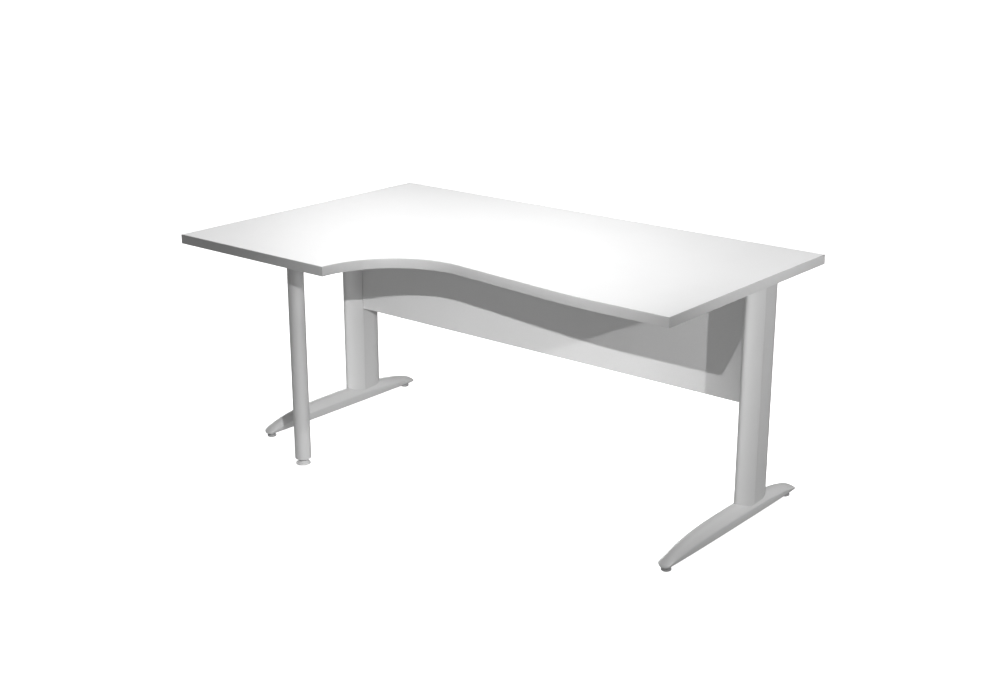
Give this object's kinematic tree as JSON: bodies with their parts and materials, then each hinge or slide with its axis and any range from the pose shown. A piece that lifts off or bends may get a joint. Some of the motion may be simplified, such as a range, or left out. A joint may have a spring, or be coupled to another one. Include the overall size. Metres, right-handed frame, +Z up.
{
  "type": "office desk",
  "caption": "Compact desk with one deep end and a waved front edge, on T-feet with oval columns and a round pillar, with a modesty panel",
  "frame": {"origin": "on the floor, below the middle of the desk's bounding box", "axes": "+X to the sitter's right along the desk's width, +Y from the sitter to the straight rear edge, +Z up"},
  "size_m": [1.6, 1, 0.72],
  "materials": {
    "white_melamine": "chipboard faced with fine-grained white melamine",
    "grey_melamine": "chipboard faced with light grey melamine",
    "grey_edging": "satin grey plastic edge banding",
    "silver_paint": "satin silver powder coat",
    "zinc_steel": "bright zinc-plated steel",
    "dark_plastic": "moulded dark grey plastic",
    "light_plastic": "moulded light grey plastic"
  },
  "bodies": {
    "frame": {"desktop_board": "white_melamine", "edge_band_rear": "grey_edging", "edge_band_left": "grey_edging", "edge_band_deep_front": "grey_edging", "edge_band_wave": "grey_edging", "edge_band_right": "grey_edging", "left_column_tube": "silver_paint", "left_column_cover": "silver_paint", "left_lower_cover_clip": "dark_plastic", "left_upper_cover_clip": "dark_plastic", "left_base_plate": "zinc_steel", "left_top_plate": "silver_paint", "left_foot": "silver_paint", "left_front_foot_bolt": "zinc_steel", "left_rear_foot_bolt": "zinc_steel", "left_front_foot_insert": "zinc_steel", "left_rear_foot_insert": "zinc_steel", "left_lower_side_bracket": "zinc_steel", "left_upper_side_bracket": "zinc_steel", "left_lower_side_bracket_screw": "zinc_steel", "left_upper_side_bracket_screw": "zinc_steel", "right_column_tube": "silver_paint", "right_column_cover": "silver_paint", "right_lower_cover_clip": "dark_plastic", "right_upper_cover_clip": "dark_plastic", "right_base_plate": "zinc_steel", "right_top_plate": "silver_paint", "right_foot": "silver_paint", "right_front_foot_bolt": "zinc_steel", "right_rear_foot_bolt": "zinc_steel", "right_front_foot_insert": "zinc_steel", "right_rear_foot_insert": "zinc_steel", "right_lower_side_bracket": "zinc_steel", "right_upper_side_bracket": "zinc_steel", "right_lower_side_bracket_screw": "zinc_steel", "right_upper_side_bracket_screw": "zinc_steel", "pillar_plate": "silver_paint", "pillar_tube": "silver_paint", "pillar_plug": "light_plastic", "pillar_plate_screw_1": "zinc_steel", "pillar_plate_screw_2": "zinc_steel", "pillar_plate_screw_3": "zinc_steel", "pillar_plate_screw_4": "zinc_steel", "modesty_panel": "grey_melamine", "panel_edge_band_left": "grey_edging", "panel_edge_band_right": "grey_edging", "panel_edge_band_bottom": "grey_edging", "top_bracket_left": "zinc_steel", "top_bracket_middle": "zinc_steel", "top_bracket_right": "zinc_steel"},
    "left_front_pad": {"left_front_glide_pad": "dark_plastic"},
    "left_front_stud": {"left_front_glide_stud": "zinc_steel"},
    "left_rear_pad": {"left_rear_glide_pad": "dark_plastic"},
    "left_rear_stud": {"left_rear_glide_stud": "zinc_steel"},
    "right_front_pad": {"right_front_glide_pad": "dark_plastic"},
    "right_front_stud": {"right_front_glide_stud": "zinc_steel"},
    "right_rear_pad": {"right_rear_glide_pad": "dark_plastic"},
    "right_rear_stud": {"right_rear_glide_stud": "zinc_steel"},
    "pillar_pad": {"pillar_glide_pad": "light_plastic"},
    "pillar_stud": {"pillar_glide_stud": "zinc_steel"}
  },
  "joints": [
    {"name": "left_front_glide_slide", "type": "slide", "parent": "frame", "child": "left_front_pad", "axis": [0, 0, -1], "range_m": [0, 0.0075]},
    {"name": "left_front_glide_turn", "type": "hinge", "parent": "left_front_pad", "child": "left_front_stud", "pos_m": [-0.764, -0.216, 0], "axis": [0, 0, -1], "continuous": true},
    {"name": "left_rear_glide_slide", "type": "slide", "parent": "frame", "child": "left_rear_pad", "axis": [0, 0, -1], "range_m": [0, 0.0075]},
    {"name": "left_rear_glide_turn", "type": "hinge", "parent": "left_rear_pad", "child": "left_rear_stud", "pos_m": [-0.764, 0.418, 0], "axis": [0, 0, -1], "continuous": true},
    {"name": "right_front_glide_slide", "type": "slide", "parent": "frame", "child": "right_front_pad", "axis": [0, 0, -1], "range_m": [0, 0.0075]},
    {"name": "right_front_glide_turn", "type": "hinge", "parent": "right_front_pad", "child": "right_front_stud", "pos_m": [0.764, -0.216, 0], "axis": [0, 0, -1], "continuous": true},
    {"name": "right_rear_glide_slide", "type": "slide", "parent": "frame", "child": "right_rear_pad", "axis": [0, 0, -1], "range_m": [0, 0.0075]},
    {"name": "right_rear_glide_turn", "type": "hinge", "parent": "right_rear_pad", "child": "right_rear_stud", "pos_m": [0.764, 0.418, 0], "axis": [0, 0, -1], "continuous": true},
    {"name": "pillar_glide_slide", "type": "slide", "parent": "frame", "child": "pillar_pad", "axis": [0, 0, -1], "range_m": [0, 0.015]},
    {"name": "pillar_glide_turn", "type": "hinge", "parent": "pillar_pad", "child": "pillar_stud", "pos_m": [-0.514, -0.312, 0], "axis": [0, 0, -1], "continuous": true}
  ],
  "couplings": [
    {"joint": "left_front_glide_turn", "follows": "left_front_glide_slide", "rad_per_m": 5026.5},
    {"joint": "left_rear_glide_turn", "follows": "left_rear_glide_slide", "rad_per_m": 5026.5},
    {"joint": "right_front_glide_turn", "follows": "right_front_glide_slide", "rad_per_m": 5026.5},
    {"joint": "right_rear_glide_turn", "follows": "right_rear_glide_slide", "rad_per_m": 5026.5},
    {"joint": "pillar_glide_turn", "follows": "pillar_glide_slide", "rad_per_m": 5026.5}
  ]
}
